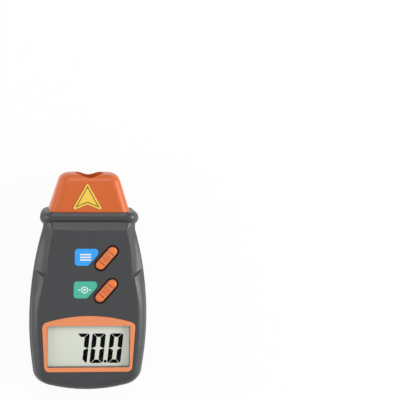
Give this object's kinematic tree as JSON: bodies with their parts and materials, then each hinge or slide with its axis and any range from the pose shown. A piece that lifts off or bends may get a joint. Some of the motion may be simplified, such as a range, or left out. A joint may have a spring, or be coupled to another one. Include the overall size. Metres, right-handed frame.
{
  "type": "laser tachometer",
  "caption": "Hand-held laser tachometer in a rounded two-part case with a tapered optical nose, a digital display window, pressing keys and a sliding battery door.",
  "frame": {"origin": "on the back face, under the middle of the length and the width: the object lies on its back", "axes": "+X to the right of the display, +Y along the beam toward the nose, +Z out of the display"},
  "size_m": [0.07, 0.131, 0.029],
  "materials": {
    "case_plastic": "fine satin texture",
    "nose_plastic": "smooth satin",
    "frame_plastic": "smooth",
    "key_plastic": "smooth satin",
    "pane_clear": "clear, polished",
    "lcd_face": "pale grey-green display glass",
    "lcd_black": "dark segments",
    "holder_plastic": "plain",
    "zebra_rubber": "layered strip",
    "board_laminate": "solder mask",
    "blob_epoxy": "poured drop",
    "can_metal": "drawn can",
    "capacitor_sleeve": "shrunk sleeve",
    "plunger_plastic": "plain",
    "switch_plastic": "plain",
    "label_blue": "printed film",
    "label_green": "printed film",
    "arrow_yellow": "printed film",
    "label_grey": "printed film",
    "barrel_brass": "turned",
    "lens_glass": "polished",
    "tube_plastic": "black, light tight",
    "photodiode_epoxy": "dark filter resin",
    "bracket_plastic": "plain",
    "battery_jacket": "printed jacket, left bare",
    "snap_vinyl": "soft vinyl",
    "lead_red": "vinyl sleeve",
    "lead_yellow": "vinyl sleeve",
    "screw_steel": "zinc plated"
  },
  "bodies": {
    "case": {"front_shell": "case_plastic", "rear_shell": "case_plastic", "nose_cap": "nose_plastic", "window_frame": "frame_plastic", "window_pane": "pane_clear", "lcd_panel": "lcd_face", "lcd_digits": "lcd_black", "lcd_holder": "holder_plastic", "zebra_strips": "zebra_rubber", "main_board": "board_laminate", "controller_blob": "blob_epoxy", "crystal": "can_metal", "board_capacitors": "capacitor_sleeve", "mem_switch": "switch_plastic", "test_switch": "switch_plastic", "mem_label": "label_blue", "test_label": "label_green", "aim_arrow": "arrow_yellow", "laser_barrel": "barrel_brass", "laser_lens": "lens_glass", "laser_diode": "can_metal", "receiver_tube": "tube_plastic", "receiver_lens": "lens_glass", "photodiode": "photodiode_epoxy", "sensor_board": "board_laminate", "optics_bracket": "bracket_plastic", "battery": "battery_jacket", "battery_studs": "can_metal", "battery_snap": "snap_vinyl", "battery_leads": "lead_red", "sensor_leads": "lead_yellow", "rear_label": "label_grey", "case_screws": "screw_steel", "board_screws": "screw_steel", "bracket_screws": "screw_steel"},
    "mem_key": {"mem_button": "key_plastic", "mem_plunger": "plunger_plastic"},
    "test_key": {"test_button": "key_plastic", "test_plunger": "plunger_plastic"},
    "door": {"battery_door": "case_plastic"}
  },
  "joints": [
    {"name": "mem_press", "type": "slide", "parent": "case", "child": "mem_key", "axis": [0, 0, -1], "range_m": [0, 0.0005], "stiffness_N_per_m": 400, "springref_m": -0.001},
    {"name": "test_press", "type": "slide", "parent": "case", "child": "test_key", "axis": [0, 0, -1], "range_m": [0, 0.0005], "stiffness_N_per_m": 400, "springref_m": -0.001},
    {"name": "door_slide", "type": "slide", "parent": "case", "child": "door", "axis": [0, -1, 0], "range_m": [0, 0.058]}
  ]
}
